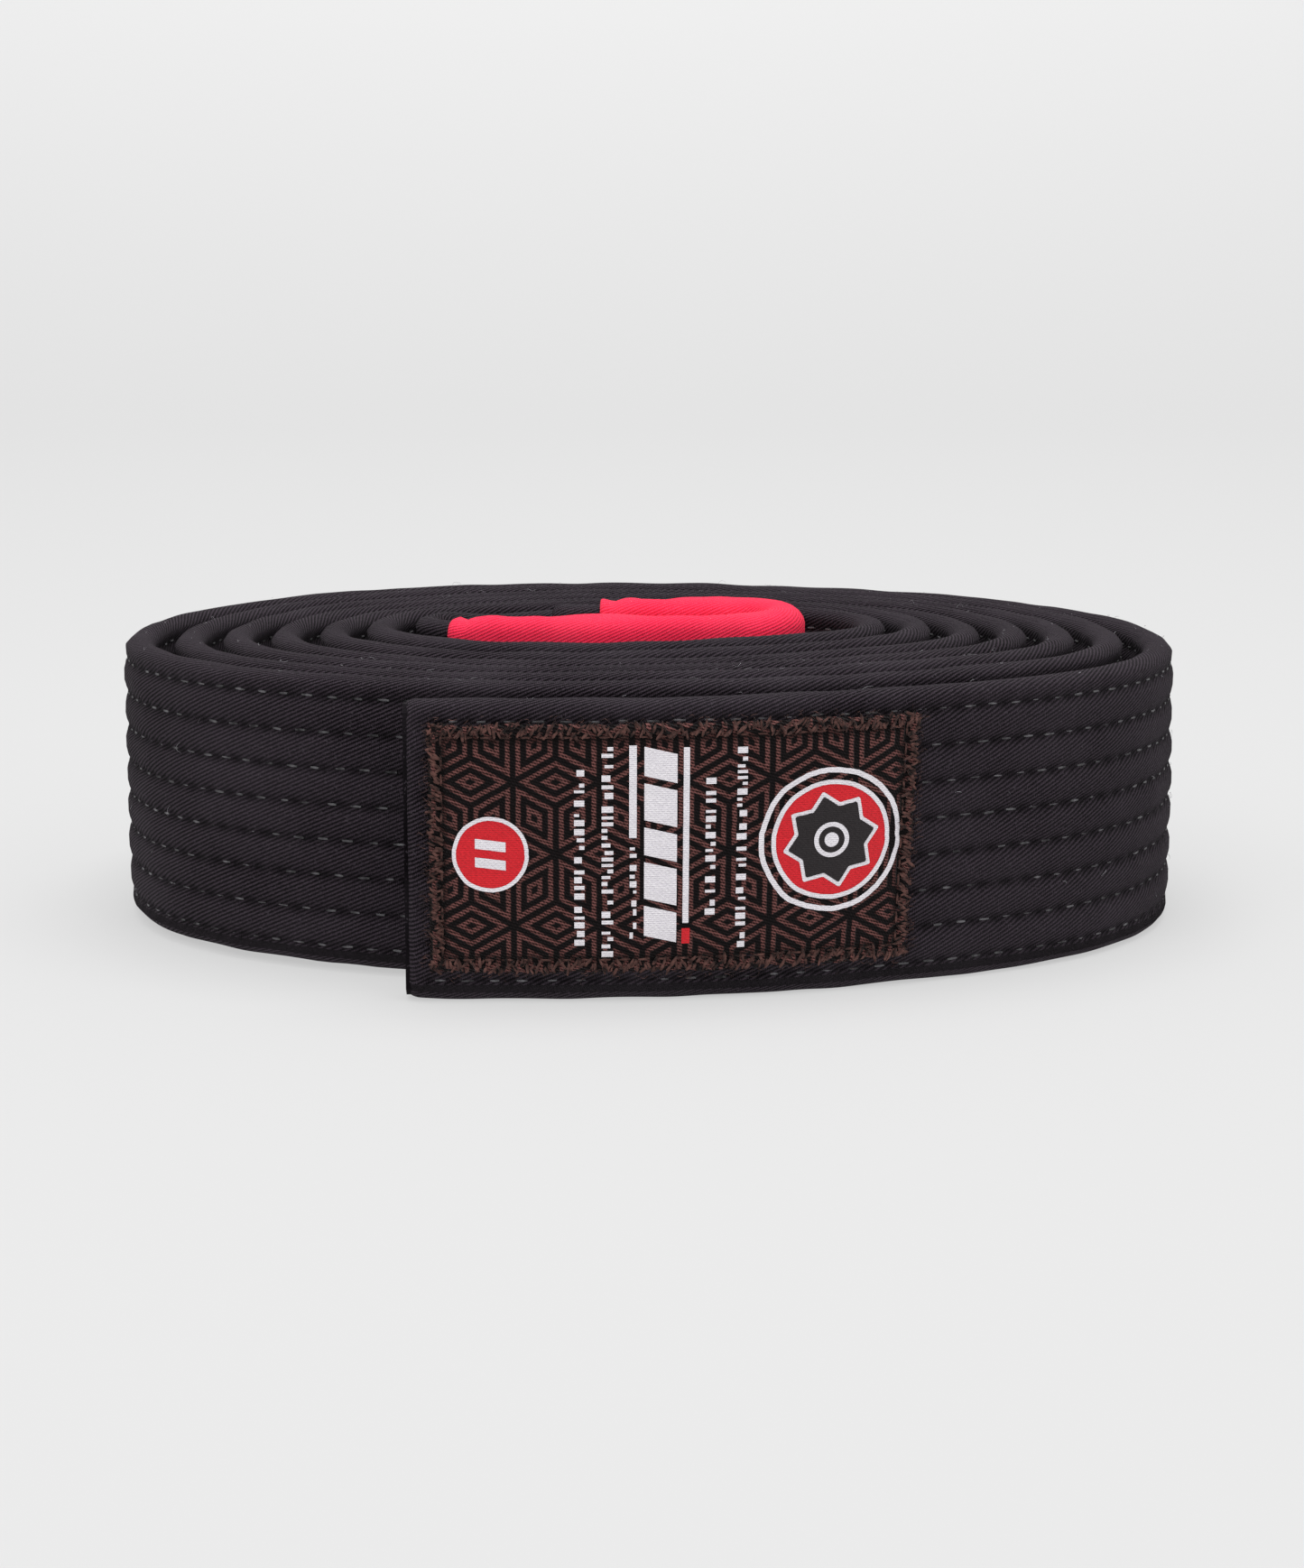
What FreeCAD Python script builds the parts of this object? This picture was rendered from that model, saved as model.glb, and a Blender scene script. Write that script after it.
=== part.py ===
"""A rank belt, coiled on its edge in a flat oval spiral.

Millimetres, +Z up, origin under the middle of the coil, on the surface it
stands on. The outer end lies in front (-Y) and carries the woven label. The
belt winds inward from there, counter-clockwise seen from above, and ends in
the hollow of the coil with the rank sleeve, which folds back on itself.

Everything follows one line in plan, the middle of the belt. Each piece is a
section, drawn as across (outward from that line) and up, swept along a
stretch of it. The coil is laid out from the sleeve outward.
"""
import FreeCAD, Part
import math
import os

Vector = FreeCAD.Vector

# ---- driving dimensions ----
belt_width = 46.0          # height of the coil
cover_cloth = 0.75         # twill cover, one side
ply_thickness = 1.0        # one layer of the core
ply_count = 4
edge_bevel = 1.6           # the belt's long edges are rounded; here they are bevelled
ply_edge_clearance = 1.25  # each ply stops this far short of the folded cover edge
ply_gap = 0.02             # between the layers

row_count = 8              # rows of quilting
row_edge = 3.25            # outer rows to the belt's long edges
thread_width = 0.6
thread_height = 0.25       # thread lying proud of the cloth
row_start = 3.0            # quilting starts this far from either end

tuck_depth = 3.0           # end cloth folded back inside the cover
tuck_clearance = 0.2
end_stitch_inset = 1.6     # line of stitching across each end

label_inset = 3.8          # outer end to the label
label_length = 73.0
label_bottom = 4.7         # label above the belt's lower edge
label_top = 3.6            # label below the belt's upper edge
label_cloth = 0.7
label_stitch_inset = 1.9

sleeve_length = 97.0
sleeve_lead = 2.0          # sleeve that lies in the last bend, before the straight
sleeve_back = 25.0         # sleeve behind the fold
sleeve_cloth = 0.8
sleeve_clearance = 0.1     # sleeve to the belt's long edges
sleeve_stitch_inset = 2.2
tip_length = 9.0           # belt showing past the sleeve
inner_lift = 1.5           # the inner end stands this much higher
lift_run = 10.0            # length over which it climbs

fold_radius = 6.75         # middle line of the fold in the sleeve
fold_side_gap = 8.6        # fold to the side of the innermost turn
strip_gap = 5.0            # sleeve to the innermost turn behind it
last_radius = 48.0         # the innermost turn leaves the back on this arc
last_sweep = math.radians(33)
back_level = 4.0           # level stretch before that arc
well_depth = 20.0          # open hollow in front of the sleeve
turns = 7
side_gap = 2.45            # between turns, at the sides
front_gap = 2.5            # between turns, in front
back_gap = 1.3             # between turns, behind
end_gap = 7.5              # labelled end to the turn behind it
free_run = 21.0            # outer end to the front of the first turn
front_x = -8.0             # foremost point of the turns
crest_step = 2.0           # each inner turn is rearmost this much further right
widest_y = 3.0             # where the innermost turn is widest, from the sleeve's front
widest_step = 2.0          # how much further forward each outer turn is widest
front_sweep = math.radians(32)   # share of a quarter turn on the flatter arc
widest_back_sweep = math.radians(30)   # the same behind, where the fold's corner leaves room
corner_gap = 2.5           # least room between that corner and the innermost turn
sweep_step = math.radians(0.25)
least_sweep = math.radians(5)

# ---- sizes that follow ----
core_thickness = ply_count * ply_thickness
belt_thickness = core_thickness + 2 * cover_cloth
half = belt_thickness / 2
side_pitch = belt_thickness + side_gap
front_pitch = belt_thickness + front_gap
back_pitch = belt_thickness + back_gap
sleeve_inner = half + thread_height
sleeve_outer = sleeve_inner + sleeve_cloth
row_pitch = (belt_width - 2 * row_edge) / (row_count - 1)
BEVEL_SHARE = 2 - math.sqrt(2)   # a bevel grows by this share of the cloth's thickness


# ---- plan: arcs and straights that all turn left ----
def straight(start, heading, length, rise=0.0):
    """A straight run: start (x, y, z), heading in radians."""
    return {"start": start, "heading": heading, "length": length, "turn": 0.0, "rise": rise}


def bend(start, heading, radius, turn):
    """An arc to the left, through turn radians."""
    return {"start": start, "heading": heading, "length": radius * turn, "turn": turn, "rise": 0.0}


def centre(run):
    radius = run["length"] / run["turn"]
    x, y, z = run["start"]
    return Vector(x - radius * math.sin(run["heading"]), y + radius * math.cos(run["heading"]), z)


def place(run, along):
    """Point and heading at a distance along one run."""
    x, y, z = run["start"]
    if run["turn"] == 0:
        share = along / run["length"]
        dx = along * math.cos(run["heading"])
        dy = along * math.sin(run["heading"])
        return (x + dx, y + dy, z + run["rise"] * share), run["heading"]
    radius = run["length"] / run["turn"]
    heading = run["heading"] + along / radius
    hub = centre(run)
    return (hub.x + radius * math.sin(heading), hub.y - radius * math.cos(heading), z), heading


class Route:
    """The belt's middle line, built run by run."""

    def __init__(self, start):
        self.runs = []
        self.end = start
        self.heading = 0.0

    def add(self, run):
        self.runs.append(run)
        self.end, self.heading = place(run, run["length"])

    def go(self, length, rise=0.0):
        self.add(straight(self.end, self.heading, length, rise))

    def turn(self, radius, angle):
        self.add(bend(self.end, self.heading, radius, angle))

    def quarter(self, across, ahead, sweep, flat_first):
        """A quarter turn of two arcs that ends `ahead` along the heading and `across` to its left.

        The flatter arc takes `sweep` of the quarter and lies first or last.
        """
        wide, deep = (ahead, across) if flat_first else (across, ahead)
        flat, tight = quarter_radii(wide, deep, sweep)
        arcs = [(flat, sweep), (tight, math.pi / 2 - sweep)]
        if not flat_first:
            arcs.reverse()
        for radius, angle in arcs:
            self.turn(radius, angle)

    def length(self):
        return sum(run["length"] for run in self.runs)

    def part(self, first, last):
        """The runs between two distances along the route."""
        found = []
        passed = 0.0
        for run in self.runs:
            low = max(first - passed, 0.0)
            high = min(last - passed, run["length"])
            passed += run["length"]
            if high - low < 1e-6:
                continue
            start, heading = place(run, low)
            share = (high - low) / run["length"]
            found.append({"start": start, "heading": heading, "length": high - low,
                          "turn": run["turn"] * share, "rise": run["rise"] * share})
        return found


def quarter_radii(wide, deep, sweep):
    """Radii of the flat arc, which takes `sweep`, and the tight arc that make up a quarter turn."""
    s = math.sin(sweep)
    c = math.cos(sweep)
    scale = s * c - (1 - s) * (1 - c)
    return (wide * c - deep * (1 - s)) / scale, (deep * s - wide * (1 - c)) / scale


def sweep_round_fold(fold_x, right, right_y, back_x, back):
    """The flat arc's sweep, with which the innermost turn clears the fold by corner_gap.

    The turn comes nearest to the fold where its two arcs meet.
    """
    needed = fold_radius + sleeve_outer + corner_gap + thread_height + half
    sweep = widest_back_sweep
    while sweep > least_sweep:
        tight = quarter_radii(right - back_x, back - right_y, sweep)[1]
        room = (tight + (right - tight - fold_x) * math.sin(sweep)
                + (right_y - fold_radius) * math.cos(sweep))
        if room > needed:
            break
        sweep -= sweep_step
    return sweep


def lay_out():
    """The whole coil, outer end to inner tip, and where the sleeve starts on it.

    The straight front of the sleeve lies on y = 0, halfway along it at x = 0.
    """
    last = turns - 1
    inmost_back = 2 * fold_radius + sleeve_outer + strip_gap + thread_height + half
    inmost_front = -sleeve_outer - well_depth - thread_height - half
    back = [inmost_back + (last - k) * back_pitch for k in range(turns)]
    front = [inmost_front - (last - k) * front_pitch for k in range(turns)]
    front[0] -= end_gap - front_gap
    strip_length = sleeve_length - sleeve_lead - math.pi * fold_radius - sleeve_back
    fold_x = strip_length / 2
    bend_x = -strip_length / 2
    sink = last_radius * (1 - math.cos(last_sweep)) + lift_run * math.sin(last_sweep)
    bend_radius = (inmost_back - sink) / (1 + math.cos(last_sweep))
    crest_x = (bend_x + (last_radius - bend_radius) * math.sin(last_sweep)
               + lift_run * math.cos(last_sweep) + back_level)
    back_x = [crest_x - (last - k) * crest_step for k in range(turns)]
    right = [fold_x + fold_radius + sleeve_outer + fold_side_gap + half + (last - k) * side_pitch
             for k in range(turns)]
    left = [bend_x - bend_radius - (last - k) * side_pitch for k in range(turns)]
    right_y = [widest_y - (last - k) * widest_step for k in range(turns)]
    left_y = [widest_y - (last - k) * widest_step for k in range(last)]
    back_sweep = sweep_round_fold(fold_x, right[last], right_y[last], back_x[last], back[last])

    route = Route((front_x - free_run, front[0], 0.0))
    route.go(free_run)
    for k in range(turns):
        route.quarter(right_y[k] - front[k], right[k] - front_x, front_sweep, True)
        route.quarter(right[k] - back_x[k], back[k] - right_y[k], back_sweep, False)
        if k < last:
            route.quarter(back[k] - left_y[k], back_x[k] - left[k], back_sweep, True)
            route.quarter(front_x - left[k], left_y[k] - front[k + 1], front_sweep, False)
    route.go(back_level)
    route.turn(last_radius, last_sweep)
    route.go(lift_run, inner_lift)
    route.turn(bend_radius, math.pi - last_sweep)
    sleeve_start = route.length() - sleeve_lead
    route.go(strip_length)
    route.turn(fold_radius, math.pi)
    route.go(sleeve_back + tip_length)
    return route, sleeve_start


# ---- sections and sweeps ----
def oblong(across_low, across_high, low, high, bevel=0.0):
    """A rectangle with bevelled corners, as a list of points."""
    if bevel == 0:
        return [(across_low, low), (across_high, low), (across_high, high), (across_low, high)]
    return [(across_low + bevel, low), (across_high - bevel, low),
            (across_high, low + bevel), (across_high, high - bevel),
            (across_high - bevel, high), (across_low + bevel, high),
            (across_low, high - bevel), (across_low, low + bevel)]


def section_wire(section, run, at_end=False):
    """The section's outline, stood up across the route at one end of a run."""
    point, heading = place(run, run["length"] if at_end else 0.0)
    out = Vector(math.sin(heading), -math.cos(heading), 0)
    base = Vector(*point)
    corners = [base + out * across + Vector(0, 0, up) for across, up in section]
    return Part.makePolygon(corners + corners[:1])


def sweep(runs, sections):
    """One solid: the first section is the outside, any others are holes."""
    faces = []
    for run in runs:
        for section in sections:
            wire = section_wire(section, run)
            if run["turn"]:
                skin = wire.revolve(centre(run), Vector(0, 0, 1), math.degrees(run["turn"]))
            else:
                point, _ = place(run, run["length"])
                skin = wire.extrude(Vector(*point) - Vector(*run["start"]))
            faces += skin.Faces
    for run, at_end in ((runs[0], False), (runs[-1], True)):
        wires = [section_wire(section, run, at_end) for section in sections]
        cap = Part.Face(wires[0])
        if len(wires) > 1:
            cap = cap.cut(Part.makeCompound([Part.Face(w) for w in wires[1:]])).Faces[0]
        faces.append(cap)
    shell = Part.makeShell(faces)
    shell.sewShape()
    solid = Part.Solid(shell if shell.ShapeType == "Shell" else shell.Shells[0])
    if solid.Volume < 0:
        solid.reverse()
    return solid


# ---- the pieces ----
def cover(route):
    """The twill cover: one flattened tube, open at the ends."""
    outside = oblong(-half, half, 0, belt_width, edge_bevel)
    inside = oblong(-half + cover_cloth, half - cover_cloth, cover_cloth,
                    belt_width - cover_cloth, edge_bevel - cover_cloth * BEVEL_SHARE)
    return sweep(route.runs, [outside, inside])


def core_ply(route, index):
    """One layer of the core, counted from the inner face of the belt."""
    low = -core_thickness / 2 + index * ply_thickness
    inset = cover_cloth + ply_edge_clearance
    section = oblong(low + ply_gap / 2, low + ply_thickness - ply_gap / 2,
                     inset, belt_width - inset)
    start = tuck_depth + tuck_clearance
    return sweep(route.part(start, route.length() - start), [section])


def end_tuck(route, at_tip):
    """Cover cloth folded back inside the mouth of the tube."""
    section = oblong(-half + cover_cloth, half - cover_cloth, cover_cloth,
                     belt_width - cover_cloth, edge_bevel - cover_cloth * BEVEL_SHARE)
    start = route.length() - tuck_depth if at_tip else 0.0
    return sweep(route.part(start, start + tuck_depth), [section])


def thread(route, start, end, base, low, high, outer_face=True):
    """A line of thread that lies on a face, `base` away from the middle line."""
    near, far = base, base + thread_height
    if not outer_face:
        near, far = -far, -near
    return sweep(route.part(start, end), [oblong(near, far, low, high)])


def quilt_row(route, index):
    """A row of quilting: needle thread outside and bobbin thread inside."""
    middle = row_edge + index * row_pitch
    low = middle - thread_width / 2
    end = route.length() - row_start
    return Part.makeCompound([thread(route, row_start, end, half, low, low + thread_width, side)
                              for side in (True, False)])


def cross_stitching(route, middle, base, inset):
    """A line of stitching across the belt, on both faces."""
    start = middle - thread_width / 2
    return Part.makeCompound([thread(route, start, start + thread_width, base, inset,
                                     belt_width - inset, side) for side in (True, False)])


def label(route):
    """The woven label, lying on the quilting threads."""
    base = half + thread_height
    section = oblong(base, base + label_cloth, label_bottom, belt_width - label_top)
    return sweep(route.part(label_inset, label_inset + label_length), [section])


def label_stitching(route):
    """Stitching round the label: a frame of thread on the label and one behind the belt."""
    start = label_inset + label_stitch_inset
    end = label_inset + label_length - label_stitch_inset
    low = label_bottom + label_stitch_inset
    high = belt_width - label_top - label_stitch_inset
    frames = []
    for base, side in ((half + thread_height + label_cloth, True), (half + thread_height, False)):
        lines = [(start, end, low, low + thread_width), (start, end, high - thread_width, high),
                 (start, start + thread_width, low + thread_width, high - thread_width),
                 (end - thread_width, end, low + thread_width, high - thread_width)]
        bars = [thread(route, a, b, base, z0, z1, side) for a, b, z0, z1 in lines]
        frames.append(bars[0].multiFuse(bars[1:]))
    return Part.makeCompound(frames)


def rank_sleeve(route, start):
    """The sleeve: a flat tube of cloth round the belt."""
    edge = sleeve_clearance
    rim = edge_bevel + thread_height
    inside = oblong(-sleeve_inner, sleeve_inner, -edge, belt_width + edge, rim)
    outside = oblong(-sleeve_outer, sleeve_outer, -edge - sleeve_cloth,
                     belt_width + edge + sleeve_cloth, rim + sleeve_cloth * BEVEL_SHARE)
    return sweep(route.part(start, start + sleeve_length), [outside, inside])


def build():
    route, sleeve_start = lay_out()
    tip = route.length()
    cross_inset = edge_bevel + thread_width
    parts = {"cover": cover(route)}
    for index in range(ply_count):
        parts["core_ply_%d" % (index + 1)] = core_ply(route, index)
    for index in range(row_count):
        parts["quilt_row_%d" % (index + 1)] = quilt_row(route, index)
    parts["outer_end_tuck"] = end_tuck(route, False)
    parts["inner_end_tuck"] = end_tuck(route, True)
    parts["outer_end_stitching"] = cross_stitching(route, end_stitch_inset, half, cross_inset)
    parts["inner_end_stitching"] = cross_stitching(route, tip - end_stitch_inset, half, cross_inset)
    parts["label"] = label(route)
    parts["label_stitching"] = label_stitching(route)
    parts["rank_sleeve"] = rank_sleeve(route, sleeve_start)
    parts["sleeve_stitching_start"] = cross_stitching(
        route, sleeve_start + sleeve_stitch_inset, sleeve_outer, cross_inset)
    parts["sleeve_stitching_end"] = cross_stitching(
        route, sleeve_start + sleeve_length - sleeve_stitch_inset, sleeve_outer, cross_inset)

    box = Part.makeCompound(list(parts.values())).optimalBoundingBox()
    to_origin = Vector(-box.Center.x, -box.Center.y)
    os.makedirs("parts", exist_ok=True)
    for name, shape in parts.items():
        shape.translate(to_origin)
        shape.exportStep("parts/%s.step" % name)
        print("%-24s solids %d  valid %s  volume %.0f" % (
            name, len(shape.Solids), shape.isValid(), shape.Volume))
    print("belt length %.0f, box %.1f x %.1f x %.1f" % (
        tip, box.XLength, box.YLength, box.ZLength))


build()
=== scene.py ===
"""The looks of a coiled rank belt: quilted black twill, woven label, red sleeve.

Every piece follows the belt's middle line, laid out here as in the CAD model.
Lengths are millimetres until a mesh is made. On the belt, `along` runs from
the labelled outer end, `out` is away from the middle line towards the outer
face, and `up` is height above the belt's lower edge.
"""
import math
import bpy
import numpy as np
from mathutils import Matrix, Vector


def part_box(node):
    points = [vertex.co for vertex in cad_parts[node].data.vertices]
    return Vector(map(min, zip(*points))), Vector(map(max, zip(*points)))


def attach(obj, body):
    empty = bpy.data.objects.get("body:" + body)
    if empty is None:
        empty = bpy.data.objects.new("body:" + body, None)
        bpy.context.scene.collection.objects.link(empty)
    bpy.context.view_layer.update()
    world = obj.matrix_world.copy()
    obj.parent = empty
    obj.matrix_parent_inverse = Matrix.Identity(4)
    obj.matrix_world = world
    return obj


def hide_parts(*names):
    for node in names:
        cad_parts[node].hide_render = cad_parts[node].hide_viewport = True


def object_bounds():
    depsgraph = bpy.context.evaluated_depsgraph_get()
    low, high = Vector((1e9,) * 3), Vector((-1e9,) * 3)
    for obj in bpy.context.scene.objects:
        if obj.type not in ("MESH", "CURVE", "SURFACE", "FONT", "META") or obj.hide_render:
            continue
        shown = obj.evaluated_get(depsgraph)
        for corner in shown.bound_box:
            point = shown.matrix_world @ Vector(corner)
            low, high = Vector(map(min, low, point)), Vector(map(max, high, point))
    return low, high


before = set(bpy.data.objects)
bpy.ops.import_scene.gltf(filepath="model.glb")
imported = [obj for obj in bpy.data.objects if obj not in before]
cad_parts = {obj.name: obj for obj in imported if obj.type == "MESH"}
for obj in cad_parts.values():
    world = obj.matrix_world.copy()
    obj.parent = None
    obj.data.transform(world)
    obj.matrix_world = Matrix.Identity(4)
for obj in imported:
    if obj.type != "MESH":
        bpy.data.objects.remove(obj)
cad_low, cad_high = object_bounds()
MM = 0.001

# ---- the belt, as in the CAD model ----
BELT_WIDTH = 46.0
BELT_THICKNESS = 5.5
HALF = BELT_THICKNESS / 2
THREAD_HEIGHT = 0.25
ROW_COUNT = 8
ROW_EDGE = 3.25
ROW_START = 3.0
ROWS = np.linspace(ROW_EDGE, BELT_WIDTH - ROW_EDGE, ROW_COUNT)
ROW_PITCH = ROWS[1] - ROWS[0]
END_STITCH_INSET = 1.6
LABEL_INSET = 3.8
LABEL_LENGTH = 73.0
LABEL_BOTTOM = 4.7
LABEL_HEIGHT = BELT_WIDTH - LABEL_BOTTOM - 3.6
LABEL_STITCH_INSET = 1.9
SLEEVE_LENGTH = 97.0
SLEEVE_LEAD = 2.0
SLEEVE_BACK = 25.0
SLEEVE_CLOTH = 0.8
SLEEVE_CLEARANCE = 0.1
SLEEVE_STITCH_INSET = 2.2
TIP_LENGTH = 9.0
INNER_LIFT = 1.5
LIFT_RUN = 10.0
FOLD_RADIUS = 6.75
FOLD_SIDE_GAP = 8.6
STRIP_GAP = 5.0
LAST_RADIUS = 48.0
LAST_SWEEP = math.radians(33)
BACK_LEVEL = 4.0
WELL_DEPTH = 20.0
TURNS = 7
SIDE_PITCH = BELT_THICKNESS + 2.45
FRONT_PITCH = BELT_THICKNESS + 2.5
BACK_PITCH = BELT_THICKNESS + 1.3
END_GAP = 7.5
FREE_RUN = 21.0
FRONT_X = -8.0
CREST_STEP = 2.0
WIDEST_Y = 3.0
WIDEST_STEP = 2.0
FRONT_SWEEP = math.radians(32)
BACK_SWEEP = math.radians(30)
SLEEVE_OUTER = HALF + THREAD_HEIGHT + SLEEVE_CLOTH

# ---- the cloth ----
EDGE_ROUND = 2.6           # rounding of the belt's long edges
GROOVE_DEPTH = 0.68        # how far a row of quilting pulls the cloth in
GROOVE_SPREAD = 1.15
PILLOW = 0.14              # how far the cloth swells between the rows
DEEPEST = -0.66            # the cover never comes nearer to the core than this
STITCH_PITCH = 4.2
ROW_SHIFT = 1.55           # each row's stitches start this much further on
STITCH_LENGTH = 2.3
STITCH_WIDTH = 0.42
TWILL_PITCH = 0.60
TWILL_ANGLE = math.radians(25)


# ---------------------------------------------------------------- the route
class Route:
    """Arcs and straights that all turn left, as arrays."""

    def __init__(self, x, y):
        self.end = (x, y, 0.0, 0.0)
        self.starts = []
        self.lengths = []
        self.bends = []
        self.rises = []

    def go(self, length, bend=0.0, rise=0.0):
        x, y, z, heading = self.end
        self.starts.append(self.end)
        self.lengths.append(length)
        self.bends.append(bend)
        self.rises.append(rise)
        after = heading + bend * length
        if bend:
            x += (math.sin(after) - math.sin(heading)) / bend
            y -= (math.cos(after) - math.cos(heading)) / bend
        else:
            x += length * math.cos(heading)
            y += length * math.sin(heading)
        self.end = (x, y, z + rise, after)

    def turn(self, radius, angle):
        self.go(radius * angle, 1 / radius)

    def quarter(self, across, ahead, sweep, flat_first):
        """A quarter turn of a flat and a tight arc, as in the CAD model."""
        wide, deep = (ahead, across) if flat_first else (across, ahead)
        s = math.sin(sweep)
        c = math.cos(sweep)
        scale = s * c - (1 - s) * (1 - c)
        flat = ((wide * c - deep * (1 - s)) / scale, sweep)
        tight = ((deep * s - wide * (1 - c)) / scale, math.pi / 2 - sweep)
        for radius, angle in (flat, tight) if flat_first else (tight, flat):
            self.turn(radius, angle)

    def length(self):
        return sum(self.lengths)

    def at(self, along):
        """x, y, z and heading at distances along the route."""
        along = np.asarray(along, float)
        passed = np.concatenate([[0.0], np.cumsum(self.lengths)])
        which = np.clip(np.searchsorted(passed, along, "right") - 1, 0, len(self.lengths) - 1)
        local = along - passed[which]
        x, y, z, heading = np.moveaxis(np.array(self.starts)[which], -1, 0)
        bend = np.array(self.bends)[which]
        after = heading + bend * local
        safe = np.where(bend == 0, 1.0, bend)
        x = x + np.where(bend == 0, local * np.cos(heading), (np.sin(after) - np.sin(heading)) / safe)
        y = y + np.where(bend == 0, local * np.sin(heading), (np.cos(heading) - np.cos(after)) / safe)
        share = np.clip(local / np.array(self.lengths)[which], 0, 1)
        return x, y, z + share * np.array(self.rises)[which], after


def lay_out():
    """The whole coil and where the sleeve starts on it, moved to where the CAD cover lies."""
    last = TURNS - 1
    steps = last - np.arange(TURNS)
    inmost_back = 2 * FOLD_RADIUS + SLEEVE_OUTER + STRIP_GAP + THREAD_HEIGHT + HALF
    back = inmost_back + steps * BACK_PITCH
    front = -SLEEVE_OUTER - WELL_DEPTH - THREAD_HEIGHT - HALF - steps * FRONT_PITCH
    front[0] -= END_GAP + BELT_THICKNESS - FRONT_PITCH
    strip_length = SLEEVE_LENGTH - SLEEVE_LEAD - math.pi * FOLD_RADIUS - SLEEVE_BACK
    sink = LAST_RADIUS * (1 - math.cos(LAST_SWEEP)) + LIFT_RUN * math.sin(LAST_SWEEP)
    bend_radius = (inmost_back - sink) / (1 + math.cos(LAST_SWEEP))
    crest_x = (-strip_length / 2 + (LAST_RADIUS - bend_radius) * math.sin(LAST_SWEEP)
               + LIFT_RUN * math.cos(LAST_SWEEP) + BACK_LEVEL)
    back_x = crest_x - steps * CREST_STEP
    reach = strip_length / 2 + FOLD_RADIUS + SLEEVE_OUTER + FOLD_SIDE_GAP + HALF
    right = reach + steps * SIDE_PITCH
    left = -strip_length / 2 - bend_radius - steps * SIDE_PITCH
    widest = WIDEST_Y - steps * WIDEST_STEP

    route = Route(FRONT_X - FREE_RUN, front[0])
    route.go(FREE_RUN)
    for k in range(TURNS):
        route.quarter(widest[k] - front[k], right[k] - FRONT_X, FRONT_SWEEP, True)
        route.quarter(right[k] - back_x[k], back[k] - widest[k], BACK_SWEEP, False)
        if k < last:
            route.quarter(back[k] - widest[k], back_x[k] - left[k], BACK_SWEEP, True)
            route.quarter(FRONT_X - left[k], widest[k] - front[k + 1], FRONT_SWEEP, False)
    route.go(BACK_LEVEL)
    route.turn(LAST_RADIUS, LAST_SWEEP)
    route.go(LIFT_RUN, rise=INNER_LIFT)
    route.turn(bend_radius, math.pi - LAST_SWEEP)
    sleeve_start = route.length() - SLEEVE_LEAD
    route.go(strip_length)
    route.turn(FOLD_RADIUS, math.pi)
    route.go(SLEEVE_BACK + TIP_LENGTH)

    low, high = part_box("cover")
    middle_x = (low[0] + high[0]) / 2 / MM
    middle_y = (low[1] + high[1]) / 2 / MM
    dx = middle_x - (right[0] + left[0]) / 2
    dy = middle_y - (back[0] + front[0]) / 2
    route.starts = [(x + dx, y + dy, z, h) for x, y, z, h in route.starts]
    return route, sleeve_start


ROUTE, SLEEVE_START = lay_out()
TIP = ROUTE.length()


# ---------------------------------------------------------------- unevenness
def ripple(x, y=0.0, seed=0, octaves=3):
    """Smooth, repeatable unevenness of about -1 to 1, for arrays."""
    rng = np.random.default_rng(seed)
    total = 0.0
    size = 1.0
    for _ in range(octaves):
        for _ in range(3):
            angle = rng.uniform(0, 2 * math.pi)
            shift = rng.uniform(0, 2 * math.pi)
            pull = rng.uniform(0.7, 1.4)
            total = total + size * np.sin(pull * (x * math.cos(angle) + y * math.sin(angle)) + shift)
        x = x * 2.1
        y = y * 2.1
        size *= 0.5
    return total / 3.2


def ramp(along, start, run):
    """Climbs from 0 to 1 over a run that begins at start."""
    return np.clip((along - start) / run, 0, 1)


def stand(along):
    """How much higher than its base a stretch of belt stands: the inner turns ride up."""
    before_sleeve = np.clip((SLEEVE_START - 20 - along) / 40, 0, 1)
    rising = ramp(along, 60, 400) * before_sleeve
    innermost = ramp(along, SLEEVE_START - 420, 150) * before_sleeve
    folded = ramp(along, SLEEVE_START + 35, 30)
    coil = rising * (0.75 + 0.35 * ripple(along / 70, seed=3, octaves=2)) + 0.7 * innermost
    inner = ramp(along, SLEEVE_START - 20, 40) * (1.4 * folded - 0.2)
    return coil + inner


def lean(along):
    """Sideways lean of the upper edge, per millimetre of height."""
    return 0.006 * ripple(along / 60, seed=5, octaves=2)


def place(along, out, up):
    """Belt coordinates to metres in the frame. All three are arrays of one shape."""
    x, y, z, heading = ROUTE.at(along)
    out = out + lean(along) * (up - BELT_WIDTH / 2)
    points = np.stack([x + out * np.sin(heading), y - out * np.cos(heading),
                       z + up + stand(along)], axis=-1)
    return points * MM


def groove(along, up):
    """How strongly the quilting pulls the cloth in at a place on a face, from 0 to 1."""
    apart = np.abs(up[..., None] - ROWS)
    row = apart.argmin(axis=-1)
    pull = np.exp(-(apart.min(axis=-1) / GROOVE_SPREAD) ** 2)
    phase = (along - ROW_START - ROW_SHIFT * row) / STITCH_PITCH
    hump = 0.84 + 0.16 * np.cos(2 * math.pi * phase)
    inset = np.minimum(along, TIP - along) - ROW_START
    return pull * hump * np.clip(1 + inset / 1.5, 0, 1)


# ---------------------------------------------------------------- mesh helpers
def store_shade_depth(piece, values):
    """Writes how deep each point of a piece is drawn in, for the shaders to darken it there as painted shade.
    """
    shade = piece.data.attributes.new("sunk", "FLOAT", "POINT")
    shade.data.foreach_set("value", np.asarray(values).astype(np.float32).ravel())


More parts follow.
